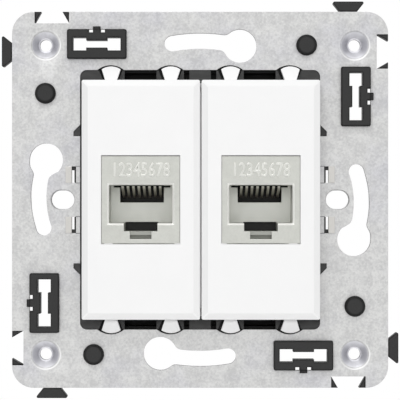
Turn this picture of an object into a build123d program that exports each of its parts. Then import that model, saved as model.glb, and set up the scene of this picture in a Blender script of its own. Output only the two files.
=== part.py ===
from build123d import *
import math
import os

# Double ethernet wall socket: a square steel mounting plate with four plastic corner links, a
# module holder clipped into its opening, and two modules that each carry a shielded jack.
# Millimetres. +X is right and +Z up as seen from the room, the viewer looks along +Y, and the
# origin is the centre of the fixing pattern on the wall. A "depth" counts from the wall
# toward the viewer, so it is -Y, and it is negative inside the wall box.

# Steel mounting plate
plate_size = 71.0
plate_thickness = 1.2
plate_corner_r = 4.1
opening_width = 45.3
opening_height = 49.0
opening_corner_r = 1.25
scallop_r = 3.95
scallop_centre_inset = 3.05
notch_low = 12.0
notch_high = 14.2
notch_depth = 1.25
notch_flat = 0.9

# Corner screw holes in formed dimples
screw_pitch = 58.4
screw_hole_d = 2.25
dimple_d = 5.45
dimple_depth = 1.5
dimple_floor_d = 2.7
dimple_lip = 0.18

# Keyhole slots on the fixing circle of the wall box
fixing_circle_d = 60.0
slot_width = 2.95
keyhole_head_d = 6.3
keyhole_head_angle = 14.5
keyhole_end_angle = 10.1
keyhole_blend_r = 1.5

# Oval holes and claw windows at the sides of the opening
oval_x = 25.9
oval_width = 4.3
oval_height = 3.5
oval_coin = 0.2
window_x = 23.83
window_width = 0.8
window_low = 3.2
window_high = 6.3
pad_width = 1.17
pad_height = 0.12

# Corner links: one moulding behind each corner of the plate
link_base_thickness = 1.5
link_inset = 0.5
link_leg_end = 17.6
link_leg_width = 8.2
link_arm_end = 13.4
fit_gap = 0.05
pin_x = 29.2
pin_z = 20.1
pin_shank_d = 2.4
pin_head_d = 3.93
pin_head_height = 1.0
pin_head_round = 0.45
retainer_x = 19.5
retainer_z = 29.4
retainer_length = 11.13
retainer_width = 5.5
retainer_corner_r = 0.35
retainer_rise = 1.1
retainer_slot_length = 9.0
retainer_slot_width = 2.5
retainer_waist_length = 3.94
retainer_waist_width = 1.43
retainer_foot = 0.7
tab_width = 1.4
tab_reach = 0.55
tab_height = 0.7
tab_window_width = 0.85
tab_window_depth = 0.6
dovetail_offset = 28.0
female_mouth = 4.0
female_base = 6.5
female_depth = 2.15
male_root = 3.3
male_tip = 5.87
male_reach = 1.9
male_tip_r = 0.3
link_flush_gap = 0.1

# Module holder: frame behind the plate with two bars that rise through the opening
module_pitch = 22.5
holder_inner_height = 41.6
holder_side_play = 0.3
holder_flange_x = 1.9
holder_flange_z = 1.8
holder_waist_inset = 0.9
holder_flange_thickness = 1.3
holder_beam_half_length = 18.4
holder_beam_depth = 5.0
holder_wall = 1.0
holder_wall_half_height = 19.6
holder_sink = 0.1
claw_post_wall = 0.27
claw_post_end = 0.7
claw_post_sink = 0.4
release_pocket_length = 6.0
release_pocket_depth = 6.0
release_pocket_wall = 0.9
stripe_x = 2.55
stripe_width = 1.0
stripe_depth = 3.4
core_length = 3.4

# White modules
module_shift = 0.13
face_width = 22.2
face_height = 44.9
face_corner_r = 0.35
face_stand = 4.6
face_wall = 1.8
border_width = 1.2
border_drop = 0.4
body_play = 0.02
body_wall = 1.2
body_depth = 6.6
rib_x = 3.4
rib_thickness = 1.0
rib_depth = 3.0
snap_width = 4.6
snap_slit = 0.7
snap_reach = 0.75
snap_tooth = 1.5
lug_gap = 0.25
lug_root_width = 2.2
lug_flare = 22.4
lug_root_height = 2.4
lug_tip_height = 0.8
lug_side_gap = 0.27

# Keystone tunnel in each module
tunnel_side_gap = 0.05
tunnel_top_gap = 0.12
tunnel_wall = 1.1
tunnel_floor_drop = 1.6
tunnel_roof_rise = 1.9
ledge_depth = 8.1

# Shielded jack: die-cast shell
jack_width = 14.65
jack_height = 16.36
jack_sink = 0.2
shell_length = 25.0
shell_wall = 1.05
port_width = 11.8
port_height = 7.1
port_centre_z = -0.8
port_depth = 10.6
port_chamfer = 0.35
port_back_wall = 1.4
latch_step_width = 6.3
latch_step_height = 1.57
latch_toe_width = 4.05
latch_toe_height = 1.43
latch_toe_depth = 0.8
latch_toe_deep = 2.4
contact_window_width = 8.36
contact_window_low = 0.5
comb_slot_width = 10.85
comb_slot_height = 0.32
comb_slot_drop = 0.06
hook_width = 9.2
hook_reach = 1.3
hook_length = 2.3

# Inside each jack
contact_count = 8
contact_pitch = 1.016
contact_width = 0.46
contact_thickness = 0.3
contact_tail_height = 0.5
contact_tip_depth = 5.4
contact_tip_drop = 0.3
inner_gap = 0.1
carrier_length = 4.0
carrier_floor = 1.0
board_thickness = 1.2
block_length = 5.2
block_valley = 4.4
block_slot_width = 1.0
block_slot_depth = 3.5
terminal_pitch = 2.8
terminal_row_z = 4.6
blade_width = 2.0
blade_thickness = 0.4
blade_length = 4.4
blade_fork = 0.34
cap_length = 3.9
cap_collar_d = 9.4
cap_collar_length = 3.0
cable_d = 7.4
cap_groove = 0.9

# Hinged rear doors of each jack
door_length = 8.9
door_gap = 0.1
door_taper_start = 4.9
door_taper_drop = 2.9
clamp_d = 9.6
clamp_length = 4.0
clamp_groove = 1.2
clamp_groove_depth = 0.5
knuckle_d = 2.3
knuckle_seat = 0.2
knuckle_gap = 0.15
hinge_width = 12.2
door_knuckle_width = 6.0
hinge_pin_d = 1.2
pin_play = 0.05
pin_seat_play = 0.02

# Release latch on top of each jack
latch_width = 6.8
latch_thickness = 0.8
latch_seat_depth = 0.4
latch_seat_length = 3.6
latch_rise = 1.6
latch_tip_gap = 0.7
latch_tip_length = 2.0

# Depths and places that follow from the sizes above
plate_back = link_base_thickness
plate_front = plate_back + plate_thickness
holder_front = plate_front - holder_sink
flange_front = plate_back - fit_gap
flange_back = flange_front - holder_flange_thickness
beam_back = flange_back - holder_beam_depth
holder_half_width = module_pitch + holder_side_play / 2
face_back = holder_front
face_front = face_back + face_stand
face_wall_back = face_front - face_wall
body_back = holder_front - body_depth - face_stand / 2
body_width = module_pitch - 2 * body_play
body_height = holder_inner_height - 2 * snap_slit / 2
lug_centre_z = opening_height / 2 - scallop_centre_inset
lug_tip_r = scallop_r - lug_gap
lug_pitch = module_pitch / 2
tunnel_width = jack_width + 2 * tunnel_side_gap
tunnel_height = jack_height + 2 * tunnel_top_gap
ledge_back = face_front - ledge_depth
jack_front = face_front - jack_sink
shell_back = jack_front - shell_length
port_floor_z = port_centre_z - port_height / 2
port_roof_z = port_centre_z + port_height / 2
port_back = jack_front - port_depth
cavity_front = port_back - port_back_wall
cavity_width = jack_width - 2 * shell_wall
cavity_height = jack_height - 2 * shell_wall
carrier_front = cavity_front - inner_gap
carrier_back = carrier_front - carrier_length
board_front = carrier_back - inner_gap
board_back = board_front - board_thickness
block_front = board_back
block_back = block_front - block_length
cap_front = block_back - inner_gap
cap_back = cap_front - cap_length
door_front = shell_back - door_gap
door_back = door_front - door_length
hinge_z = jack_height / 2 + knuckle_d / 2 - knuckle_seat
hinge_depth = shell_back - door_gap / 2


def front_plane(depth):
    """Sketch plane seen from the front, this far in front of the wall."""
    return Plane.XZ.offset(depth)


def slab(sketch, back, front):
    """Solid between two depths from an outline drawn as seen from the front."""
    return extrude(front_plane(back) * sketch, amount=front - back)


def across(profile, x, width):
    """Solid of this width, centred on x, from an outline drawn in depth and height."""
    side = Plane(origin=(x, 0, 0), x_dir=(0, -1, 0), z_dir=(-1, 0, 0))
    return extrude(side * profile, amount=width / 2, both=True)


def rect(x0, x1, z0, z1):
    """Rectangle between two pairs of bounds."""
    return Pos((x0 + x1) / 2, (z0 + z1) / 2) * Rectangle(x1 - x0, z1 - z0)


def outline(*points):
    """Closed polygon through these points, in place."""
    return Polygon(*points, align=None)


def cross_cylinder(radius, x, width, depth, z):
    """Cylinder along X, centred on x."""
    return across(Pos(depth, z) * Circle(radius), x, width)


def quarter_turns(shape):
    """Four copies of a front-view shape, turned clockwise from the top left corner."""
    return [Rot(0, 0, -90 * quarter) * shape for quarter in range(4)]


def both_ends(shape):
    """A solid at the top and its half turn at the bottom."""
    return shape + Rot(0, 180, 0) * shape


def keyhole():
    """Arc slot on the fixing circle with a round head that a screw head passes."""
    radius = fixing_circle_d / 2
    start = 180 - keyhole_head_angle
    arc = CenterArc((0, 0), radius, start, keyhole_head_angle + keyhole_end_angle)
    slot = SlotArc(arc, slot_width)
    head_x = radius * math.cos(math.radians(start))
    head_z = radius * math.sin(math.radians(start))
    head = Pos(head_x, head_z) * Circle(keyhole_head_d / 2)
    keyhole_outline = slot + head
    necks = []
    for corner in keyhole_outline.vertices():
        on_head = abs(math.hypot(corner.X - head_x, corner.Y - head_z) - keyhole_head_d / 2) < 1e-3
        off_line = abs(math.hypot(corner.X, corner.Y) - radius)
        if on_head and abs(off_line - slot_width / 2) < 1e-3:
            necks.append(corner)
    return fillet(necks, keyhole_blend_r)


def dovetail(mouth, base, depth):
    """Trapezium with its mouth on the local X axis, widening upward."""
    return outline((-mouth / 2, 0), (mouth / 2, 0), (base / 2, depth), (-base / 2, depth))


def scalloped_opening():
    """Central opening of the plate, scalloped round the tips of the module lugs."""
    opening = RectangleRounded(opening_width, opening_height, opening_corner_r)
    for x in lug_places():
        for side in (1, -1):
            opening += Pos(x, side * lug_centre_z) * Circle(scallop_r)
    return opening


def lug_places():
    """X of the four lugs along each bar."""
    return [lug_pitch * (step - 1.5) for step in range(4)]


def side_notch(grow=0.0):
    """Wedge cut in the left edge of the opening, above the middle."""
    edge = -opening_width / 2
    return outline(
        (edge + 1, notch_high + 1 - grow),
        (edge - notch_depth + grow, notch_low + notch_flat - grow),
        (edge - notch_depth + grow, notch_low + grow),
        (edge + 1, notch_low + grow),
    )


def four_ways(sketch):
    """A front-view shape at the upper left, mirrored to the right and below."""
    pair = sketch + mirror(sketch, Plane.YZ)
    return pair + mirror(pair, Plane.XZ)


def plate_corner_cuts():
    """Holes of the top left corner: pin, retainer, dovetail notch and keyhole slot."""
    cuts = Pos(-pin_x, pin_z) * Circle(pin_shank_d / 2 + fit_gap)
    cuts += Pos(-retainer_x, retainer_z) * RectangleRounded(
        retainer_length + 2 * fit_gap, retainer_width + 2 * fit_gap, retainer_corner_r
    )
    notch_floor = plate_size / 2 - female_depth
    cuts += rect(
        -dovetail_offset - female_base / 2,
        -dovetail_offset + female_base / 2,
        notch_floor,
        plate_size / 2 + 1,
    )
    return cuts + keyhole()


def dimple(x, z):
    """Formed cone under a corner screw hole, and the hollow that is pressed into it."""
    floor = plate_front - dimple_depth
    wall = (dimple_d - dimple_floor_d) / 2
    stand = (Align.CENTER, Align.CENTER, Align.MIN)
    boss = Cone(
        dimple_floor_d / 2 + wall / 2, dimple_d / 2 + wall / 2, plate_back - floor + plate_thickness, align=stand
    )
    boss = front_plane(floor - plate_thickness) * Pos(x, z, 0) * boss
    hollow = front_plane(floor) * Pos(x, z, 0) * Cone(
        dimple_floor_d / 2, dimple_d / 2, dimple_depth, align=stand
    )
    lip = front_plane(plate_front - dimple_lip) * Pos(x, z, 0) * Cone(
        dimple_d / 2 - dimple_lip, dimple_d / 2 + dimple_lip, dimple_lip, align=stand
    )
    hole = front_plane(floor - plate_thickness) * Pos(x, z, 0) * Cylinder(
        screw_hole_d / 2, plate_thickness, align=stand
    )
    return boss, hollow + lip + hole


def mounting_plate():
    """Stamped steel plate with its dimples, slots, windows and coined oval holes."""
    sheet = RectangleRounded(plate_size, plate_size, plate_corner_r) - scalloped_opening()
    for cuts in quarter_turns(plate_corner_cuts()):
        sheet -= cuts
    sheet -= four_ways(side_notch())
    sheet -= four_ways(
        rect(-window_x - window_width / 2, -window_x + window_width / 2, window_low, window_high)
    )
    oval = SlotOverall(oval_width, oval_height)
    sheet -= Pos(-oval_x, 0) * oval
    sheet -= Pos(oval_x, 0) * oval
    plate = slab(sheet, plate_back, plate_front)
    pad_right = -window_x - window_width / 2
    pads = four_ways(rect(pad_right - pad_width, pad_right, window_low, window_high))
    plate += slab(pads, plate_front, plate_front + pad_height)
    coin = SlotOverall(oval_width + 2 * oval_coin, oval_height + 2 * oval_coin)
    for side in (-1, 1):
        plate -= loft([
            front_plane(plate_front - oval_coin) * Pos(side * oval_x, 0) * oval,
            front_plane(plate_front) * Pos(side * oval_x, 0) * coin,
        ])
    for side_x in (-1, 1):
        for side_z in (-1, 1):
            boss, hollow = dimple(side_x * screw_pitch / 2, side_z * screw_pitch / 2)
            plate = plate + boss - hollow
    return plate


def corner_link():
    """Top left corner moulding: legs, riveted pin, retainer frame and both dovetails."""
    edge = plate_size / 2
    hidden = edge - link_inset
    legs = rect(-hidden, -hidden + link_leg_width, link_leg_end, hidden)
    arm_low = retainer_z - retainer_width / 2 - fit_gap
    legs += rect(-hidden, -link_arm_end, arm_low, hidden - female_depth)
    cheek = (female_base - female_mouth) / 2
    legs += rect(
        -dovetail_offset - female_base / 2 - cheek, -dovetail_offset + female_base / 2 + cheek,
        arm_low, hidden,
    )
    boss_r = dimple_d / 2 + (dimple_d - dimple_floor_d) / 4 + 2 * link_flush_gap
    legs -= Pos(-screw_pitch / 2, screw_pitch / 2) * Circle(boss_r)
    mouth = Pos(-dovetail_offset, edge) * Rot(0, 0, 180) * dovetail(female_mouth, female_base, female_depth)
    legs -= mouth
    link = slab(legs, 0, link_base_thickness)
    cheeks = rect(
        -dovetail_offset - female_base / 2 + fit_gap, -dovetail_offset + female_base / 2 - fit_gap,
        edge - female_depth + fit_gap, edge,
    )
    link += slab(cheeks - mouth, 0, plate_front - link_flush_gap)
    return link + link_male() + link_pin() + retainer() - retainer_opening()


def link_male():
    """Dovetail that stands out past the left edge, and hooks into the next plate."""
    edge = plate_size / 2
    tail = Pos(-edge - fit_gap, dovetail_offset) * Rot(0, 0, 90) * dovetail(male_root, male_tip, male_reach)
    tips = tail.vertices().sort_by(Axis.X)[:2]
    tail = fillet(tips, male_tip_r)
    root = rect(-edge - fit_gap, -edge + link_inset, dovetail_offset - male_root / 2, dovetail_offset + male_root / 2)
    return slab(tail, 0, plate_front - link_flush_gap) + slab(root, 0, link_base_thickness)


def link_pin():
    """Pin through the plate, closed by a round head like a rivet."""
    head_top = plate_front + fit_gap + pin_head_height
    shank = slab(Pos(-pin_x, pin_z) * Circle(pin_shank_d / 2), link_base_thickness, head_top)
    head = slab(Pos(-pin_x, pin_z) * Circle(pin_head_d / 2), plate_front + fit_gap, head_top)
    rim = head.edges().filter_by(GeomType.CIRCLE).sort_by(Axis.Y)[0]
    return shank + chamfer(rim, pin_head_round)


def retainer():
    """Frame that stands through the plate, with a snap tab over its outer edge."""
    centre = Pos(-retainer_x, retainer_z)
    top = plate_front + retainer_rise
    frame = centre * RectangleRounded(retainer_length, retainer_width, retainer_corner_r)
    outer = retainer_z + retainer_width / 2
    for side in (-1, 1):
        inner = side * tab_width / 2
        window = rect(inner, inner + side * tab_window_width, outer - tab_window_depth, outer + 1)
        frame -= Pos(-retainer_x, 0) * window
    body = slab(frame, 0, top)
    foot = centre * Rectangle(retainer_length + 2 * retainer_foot, retainer_width)
    tab = Pos(-retainer_x, 0) * rect(-tab_width / 2, tab_width / 2, outer - tab_window_depth, outer + tab_reach)
    body += slab(foot & frame_windowed(foot), 0, link_base_thickness)
    return body + slab(tab, plate_front + fit_gap, plate_front + fit_gap + tab_height)


def frame_windowed(foot):
    """The retainer's foot without the two windows beside its tab."""
    outer = retainer_z + retainer_width / 2
    reach = tab_width / 2 + tab_window_width
    return foot - Pos(-retainer_x, 0) * rect(-reach, reach, outer - tab_window_depth, outer + 1)


def retainer_opening():
    """Slot with a narrow waist that takes the hook of a cover frame."""
    slot = Rectangle(retainer_slot_length, retainer_slot_width)
    waist = Rectangle(retainer_waist_length, retainer_slot_width) - Rectangle(
        retainer_waist_length, retainer_waist_width
    )
    opening = Pos(-retainer_x, retainer_z) * (slot - waist)
    return slab(opening, -1, plate_front + retainer_rise + 1)


def lug_outline(grow=0.0):
    """Fan shape of one lug: straight flanks and a round tip concentric with its scallop."""
    flare = math.radians(lug_flare)
    root_z = face_height / 2
    apex_z = root_z - lug_root_width / 2 / math.tan(flare)
    spread = grow / math.cos(flare)
    flank = scallop_r * 3
    fan = outline(
        (-spread, apex_z), (spread, apex_z),
        (flank * math.tan(flare) + spread, apex_z + flank),
        (-flank * math.tan(flare) - spread, apex_z + flank),
    )
    return fan & Pos(0, lug_centre_z) * Circle(lug_tip_r + grow)


def module_holder():
    """Plastic frame: flange behind the plate, bars in its opening and beams in the box."""
    inner = Rectangle(2 * holder_half_width, holder_inner_height)
    half_x = opening_width / 2 + holder_flange_x
    half_z = opening_height / 2 + holder_flange_z
    flange = RectangleRounded(2 * half_x, 2 * half_z, opening_corner_r)
    waist_x = half_x - holder_waist_inset
    waist_z = window_high - claw_post_end
    for side in (-1, 1):
        flange -= rect(*sorted((side * waist_x, side * (half_x + 1))), -waist_z, waist_z)
    holder = slab(flange - inner, flange_back, flange_front)
    bar = RectangleRounded(
        opening_width - 2 * fit_gap, opening_height - 2 * fit_gap, opening_corner_r
    )
    holder += slab(bar - inner - side_strip(), flange_front, holder_front)
    holder += holder_beams()
    holder += holder_side_walls()
    holder += slab(four_ways(side_notch(fit_gap)) & flange - inner, flange_front, holder_front)
    holder += claw_posts(half_x)
    for x in lug_places():
        holder -= both_ends(slab(Pos(x, 0) * lug_outline(lug_side_gap), flange_front, plate_front))
    return holder - holder_pockets()


def side_strip():
    """Strip beside the modules where the bars stop short of the opening's sides."""
    return Rectangle(opening_width, holder_inner_height)


def holder_beams():
    """Deep beams behind both bars, cored from the rear between the pockets."""
    top = opening_height / 2 - fit_gap
    beam = rect(-holder_beam_half_length, holder_beam_half_length, holder_inner_height / 2, top)
    beams = slab(beam, beam_back, flange_back)
    for x in [0, -lug_pitch * 1.5, lug_pitch * 1.5]:
        core = rect(
            x - core_length / 2, x + core_length / 2,
            holder_inner_height / 2 + holder_wall, top - holder_wall,
        )
        beams -= slab(core, beam_back, flange_back - holder_wall)
    return both_ends(beams)


def holder_side_walls():
    """Thin walls beside the modules, behind the plate."""
    wall = rect(
        -holder_half_width - holder_wall, -holder_half_width,
        -holder_wall_half_height, holder_wall_half_height,
    )
    wall += mirror(wall, Plane.YZ)
    return slab(wall, beam_back, flange_back)


def claw_posts(flange_half):
    """Angled posts that stand in the side windows of the plate and locate the holder."""
    inner = -window_x + window_width / 2 - fit_gap
    outer = -window_x - window_width / 2 + fit_gap
    post = rect(inner - claw_post_wall, inner, window_low + fit_gap, window_high - fit_gap)
    post += rect(outer, inner, window_high - claw_post_end, window_high - fit_gap)
    keep = Rectangle(2 * flange_half, opening_height)
    return slab(four_ways(post & keep), flange_back, plate_front - claw_post_sink)


def holder_pockets():
    """Release pockets over the modules' snap tongues, and the narrow grooves between."""
    top = opening_height / 2 - fit_gap
    low = holder_inner_height / 2 + release_pocket_wall
    pockets = rect(-release_pocket_length / 2, release_pocket_length / 2, low, top - release_pocket_wall / 2)
    pair = Pos(-module_pitch / 2, 0) * pockets + Pos(module_pitch / 2, 0) * pockets
    groove = rect(-stripe_width / 2, stripe_width / 2, low, top - release_pocket_wall / 2)
    grooves = Pos(-stripe_x, 0) * groove + Pos(stripe_x, 0) * groove
    cuts = slab(pair, holder_front - release_pocket_depth, plate_front)
    cuts += slab(grooves, holder_front - stripe_depth, plate_front)
    return both_ends(cuts)


def faceplate():
    """White module body: fascia with a sloped border, keystone tunnel, lugs and snaps."""
    fascia = RectangleRounded(face_width, face_height, face_corner_r)
    crown = RectangleRounded(face_width - 2 * border_width, face_height - 2 * border_width, face_corner_r)
    shoulder = face_front - border_drop
    body = slab(fascia, face_back, shoulder)
    body += loft([front_plane(shoulder) * fascia, front_plane(face_front) * crown])
    body += slab(Rectangle(body_width, body_height), body_back, face_back)
    hollow = Rectangle(body_width - 2 * body_wall, body_height - 2 * body_wall)
    body -= slab(hollow, body_back, face_wall_back)
    body += tunnel_walls()
    body += module_ribs()
    body -= tunnel_space()
    body += both_ends(snap_tooth_solid())
    body -= both_ends(snap_slits())
    for x in (-lug_pitch / 2, lug_pitch / 2):
        body += both_ends(Pos(x, 0, 0) * lug())
    return body


def tunnel_walls():
    """Outer block of the keystone tunnel."""
    half = tunnel_width / 2 + tunnel_wall
    low = -tunnel_height / 2 - tunnel_floor_drop - tunnel_wall
    high = tunnel_height / 2 + tunnel_roof_rise + tunnel_wall
    return slab(rect(-half, half, low, high), body_back, face_wall_back)


def tunnel_space():
    """Room for the jack: the face opening, the floor behind its lip, the roof behind its ledge."""
    half = tunnel_width / 2
    low = -tunnel_height / 2
    high = tunnel_height / 2
    space = slab(rect(-half, half, low, high), body_back, face_front)
    space += slab(rect(-half, half, low - tunnel_floor_drop, low), body_back, face_wall_back)
    return space + slab(rect(-half, half, high, high + tunnel_roof_rise), body_back, ledge_back)


def module_ribs():
    """Ribs that stiffen the fascia above and below the tunnel."""
    inner = body_height / 2 - body_wall
    low = tunnel_height / 2 + tunnel_roof_rise + tunnel_wall / 2
    ribs = Sketch()
    for x in (-rib_x, rib_x):
        ribs += rect(x - rib_thickness / 2, x + rib_thickness / 2, low, inner)
        ribs += rect(x - rib_thickness / 2, x + rib_thickness / 2, -inner, -low)
    return slab(ribs, face_wall_back - rib_depth - body_wall, face_wall_back)


def snap_tooth_solid():
    """Wedge tooth on the snap tongue that catches behind the holder's beam."""
    wall_z = body_height / 2
    catch = beam_back - fit_gap
    wedge = outline(
        (catch, wall_z - body_wall / 2), (catch, wall_z + snap_reach),
        (catch - snap_tooth, wall_z), (catch - snap_tooth, wall_z - body_wall / 2),
    )
    return across(wedge, 0, snap_width)


def snap_slits():
    """Slits on both sides of the snap tongue, cut from the rear edge."""
    slits = Sketch()
    for side in (-1, 1):
        x = side * (snap_width + snap_slit) / 2
        slits += rect(x - snap_slit / 2, x + snap_slit / 2, body_height / 2 - body_wall - 0.1, body_height / 2 + 1)
    return slab(slits, body_back, flange_back)


def lug():
    """One fan-shaped lug that rests in its pocket on the bar."""
    fan = slab(lug_outline() - rect(-lug_pitch, lug_pitch, 0, face_height / 2 - border_width), flange_front, face_front)
    root_z = face_height / 2 - border_width
    tip_z = lug_centre_z + lug_tip_r
    side = outline(
        (flange_front + fit_gap, root_z), (holder_front + lug_root_height, root_z),
        (holder_front + lug_root_height, face_height / 2),
        (holder_front + lug_tip_height, tip_z), (flange_front + fit_gap, tip_z),
    )
    return fan & across(side, 0, 2 * lug_pitch)


def jack_shell():
    """Die-cast shell: square nose with the port, chamber behind it, hook and hinge ears."""
    face = Rectangle(jack_width, jack_height)
    shell = slab(face, shell_back, jack_front)
    shell -= slab(Rectangle(cavity_width, cavity_height), shell_back, cavity_front)
    shell -= port_space()
    hook = rect(-hook_width / 2, hook_width / 2, -jack_height / 2 - hook_reach, -jack_height / 2 + shell_wall)
    hook_front = face_wall_back - fit_gap
    shell += slab(hook, hook_front - hook_length, hook_front) - port_space()
    shell -= latch_seat()
    for side in (1, -1):
        shell += shell_knuckles(side)
        shell -= knuckle_relief(side, door_knuckle_width)
        shell -= cross_cylinder(hinge_pin_d / 2 + pin_seat_play, 0, hinge_width + 1, hinge_depth, side * hinge_z)
    return shell


def port_space():
    """Plug port with its bevelled mouth, latch steps, contact window and comb slot."""
    room = Pos(0, port_centre_z) * Rectangle(port_width, port_height)
    mouth = Pos(0, port_centre_z) * Rectangle(port_width + 2 * port_chamfer, port_height + 2 * port_chamfer)
    space = slab(room, port_back, jack_front)
    space += loft([front_plane(jack_front - port_chamfer) * room, front_plane(jack_front) * mouth])
    step_low = port_floor_z - latch_step_height
    step = rect(-latch_step_width / 2, latch_step_width / 2, step_low, port_floor_z + 0.1)
    space += slab(step, cavity_front - 0.1, jack_front)
    toe_low = step_low - latch_toe_height
    toe_mid = step_low - latch_toe_height / 2
    toe = rect(-latch_toe_width / 2, latch_toe_width / 2, toe_low, step_low + 0.1)
    space += slab(toe, jack_front - latch_toe_depth, jack_front)
    toe_pit = rect(-latch_toe_width / 2, latch_toe_width / 2, toe_low, toe_mid)
    space += slab(toe_pit, jack_front - latch_toe_deep, jack_front)
    half = contact_window_width / 2
    window = rect(-half, half, port_centre_z + (contact_window_low - 0.2), port_roof_z)
    slot_top = port_roof_z - comb_slot_drop
    window += rect(-comb_slot_width / 2, comb_slot_width / 2, slot_top - comb_slot_height, slot_top)
    return space + slab(window, cavity_front - 0.1, port_back)


def latch_seat():
    """Pocket in the shell's top that holds the foot of the release latch."""
    half = latch_width / 2 + fit_gap
    top = jack_height / 2
    back = latch_seat_back() - fit_gap
    return slab(rect(-half, half, top - latch_seat_depth, top + 1), back, back + latch_seat_length + 2 * fit_gap)


def latch_seat_back():
    """Depth of the rear end of the release latch."""
    return ledge_back - fit_gap - latch_reach() - latch_seat_length


def latch_reach():
    """Free length of the latch arm, from its foot to its catching face."""
    return ledge_depth


def shell_knuckles(side):
    """Two hinge ears at the rear edge of the shell, with the roots that carry them."""
    ear = (hinge_width - door_knuckle_width) / 2 - knuckle_gap
    root = knuckle_root(side, 1)
    ears = Part()
    for end in (-1, 1):
        x = end * (hinge_width / 2 - ear / 2)
        ears += cross_cylinder(knuckle_d / 2, x, ear, hinge_depth, side * hinge_z)
        ears += across(root, x, ear)
    return ears


def knuckle_root(side, toward):
    """Block between a knuckle and the wall under it, on one side of the hinge line."""
    near = hinge_depth + toward * door_gap / 2
    far = hinge_depth + toward * knuckle_d / 2
    wall_z = jack_height / 2 - knuckle_seat
    d0, d1 = sorted((near, far))
    z0, z1 = sorted((side * wall_z, side * hinge_z))
    return rect(d0, d1, z0, z1)


def knuckle_relief(side, width):
    """Room round the knuckles of the other half of the hinge."""
    return cross_cylinder(knuckle_d / 2 + knuckle_gap, 0, width + 2 * knuckle_gap, hinge_depth, side * hinge_z)


def contact_carrier():
    """Black insert behind the port: recess for the contact wires and the slot they leave by."""
    body = Rectangle(cavity_width - 2 * fit_gap, cavity_height - 2 * fit_gap)
    carrier = slab(body, carrier_back, carrier_front)
    half = contact_window_width / 2 - fit_gap
    low = port_centre_z + contact_window_low - 0.2 - contact_thickness
    recess = rect(-half, half, low, port_roof_z + contact_thickness)
    carrier -= slab(recess, carrier_back + carrier_floor, carrier_front)
    slot_half = contact_pitch * (contact_count - 1) / 2 + contact_width / 2 + inner_gap
    tail_half = contact_thickness / 2 + inner_gap
    slot = rect(-slot_half, slot_half, contact_tail_height - tail_half, contact_tail_height + tail_half)
    return carrier - slab(slot, carrier_back, carrier_front)


def contact_wires():
    """Eight spring wires that slope from the roof of the port down to the board."""
    tail = contact_tail_height
    bend = carrier_back + carrier_floor + inner_gap
    tip_depth = jack_front - contact_tip_depth
    tip_z = port_roof_z - contact_tip_drop
    half = contact_thickness / 2
    slope = math.atan2(tip_z - tail, tip_depth - bend)
    lift = half * math.tan(slope / 2)
    side = half * math.cos(slope)
    lead = half * math.sin(slope)
    profile = outline(
        (board_front, tail - half), (bend + lift, tail - half),
        (tip_depth + lead, tip_z - side), (tip_depth - lead, tip_z + side),
        (bend - lift, tail + half), (board_front, tail + half),
    )
    wires = Part()
    for place in range(contact_count):
        wires += across(profile, contact_pitch * (place - (contact_count - 1) / 2), contact_width)
    return wires


def circuit_board():
    """Small board between the contact wires and the terminals."""
    board = Rectangle(cavity_width - 2 * inner_gap, cavity_height - 2 * inner_gap)
    return slab(board, board_back, board_front)


def terminal_places():
    """Centre of each wire terminal, four above the cable and four below."""
    return [
        (terminal_pitch * (column - 1.5), side * terminal_row_z)
        for side in (1, -1)
        for column in range(4)
    ]


def terminal_block():
    """Plastic block with a slot for each wire and a valley for the cable's end."""
    block = slab(
        Rectangle(cavity_width - 2 * inner_gap, cavity_height - 2 * inner_gap), block_back, block_front
    )
    valley = Rectangle(cavity_width, block_valley)
    block -= slab(valley, block_back, block_back + block_slot_depth)
    for x, z in terminal_places():
        slot = Pos(x, z) * Rectangle(block_slot_width, cavity_height / 2)
        block -= slab(slot, block_back, block_back + block_slot_depth)
        pocket = Pos(x, z) * Rectangle(blade_width + 2 * fit_gap, blade_thickness + 2 * fit_gap)
        block -= slab(pocket, block_back, block_front)
    return block


def terminal_blades():
    """Eight forked blades that cut through the insulation of the wires."""
    blades = Part()
    tip = block_front - blade_length
    for x, z in terminal_places():
        blade = slab(Pos(x, z) * Rectangle(blade_width, blade_thickness), tip, block_front)
        fork = Pos(x, z) * Rectangle(blade_fork, 2 * blade_thickness)
        blades += blade - slab(fork, tip, tip + blade_length / 2)
    return blades


def wire_cap():
    """Cap that presses the wires down, with a collar round the cable."""
    cap = slab(
        Rectangle(cavity_width - 2 * inner_gap, cavity_height - 2 * inner_gap), cap_back, cap_front
    )
    cap += slab(Circle(cap_collar_d / 2), cap_back - cap_collar_length, cap_back)
    cap -= slab(Circle(cable_d / 2), cap_back - cap_collar_length, cap_front)
    for x, z in terminal_places():
        groove = Pos(x, z) * Rectangle(cap_groove, cavity_height / 2)
        cap -= slab(groove, cap_front - cap_groove, cap_front)
    return cap


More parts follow.
